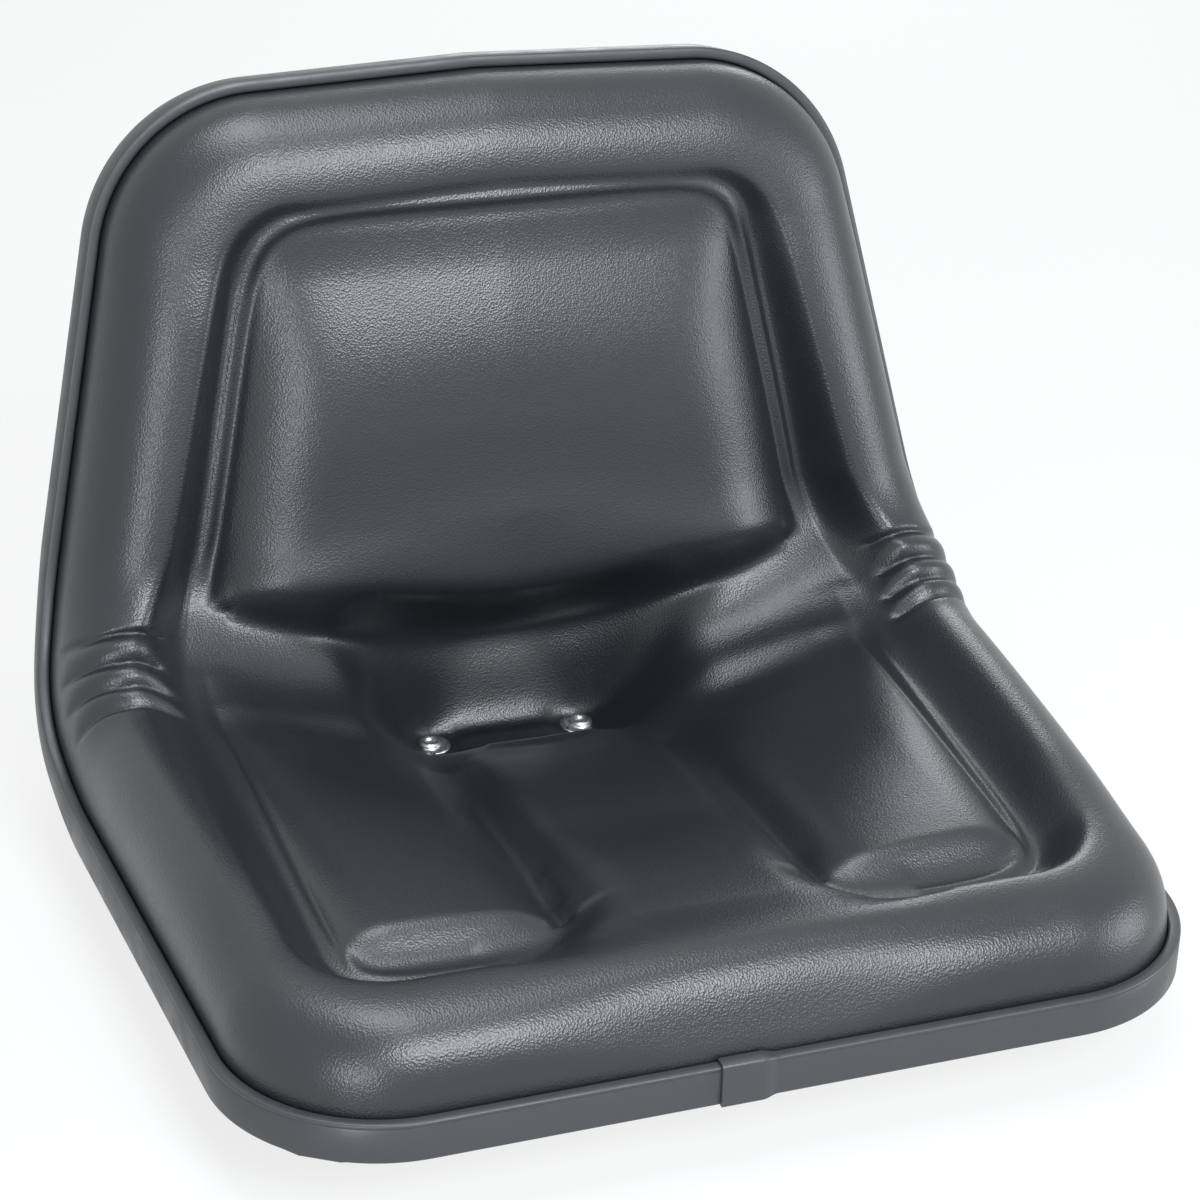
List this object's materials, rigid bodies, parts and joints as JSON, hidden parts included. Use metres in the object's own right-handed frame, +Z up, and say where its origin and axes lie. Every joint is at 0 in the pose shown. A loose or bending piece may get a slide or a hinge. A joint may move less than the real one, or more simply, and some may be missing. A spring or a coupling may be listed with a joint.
{
  "type": "tractor bucket seat",
  "caption": "Low-back bucket seat for a small tractor: formed vinyl cushion with a raised rim bolster, thigh and back pads, on a pressed steel pan with plastic edge trim.",
  "frame": {"origin": "centre of the four-bolt pattern on the flat mounting face under the pan", "axes": "+X to the sitter's left as seen from the front of the seat, -Y towards the front edge of the seat, +Z up, normal to the mounting face"},
  "size_m": [0.4968, 0.4552, 0.3682],
  "materials": {
    "pan_steel": "satin",
    "foam": "open foam",
    "vinyl": "fine grain, satin",
    "trim_plastic": "satin",
    "zinc_steel": "zinc plated",
    "bright_steel": "bright nickel"
  },
  "bodies": {
    "root": {"seat_pan": "pan_steel", "foam_core": "foam", "vinyl_cover": "vinyl", "edge_trim": "trim_plastic", "weld_nuts": "zinc_steel", "left_washer": "bright_steel", "right_washer": "bright_steel", "left_rivet": "bright_steel", "right_rivet": "bright_steel"}
  },
  "joints": []
}
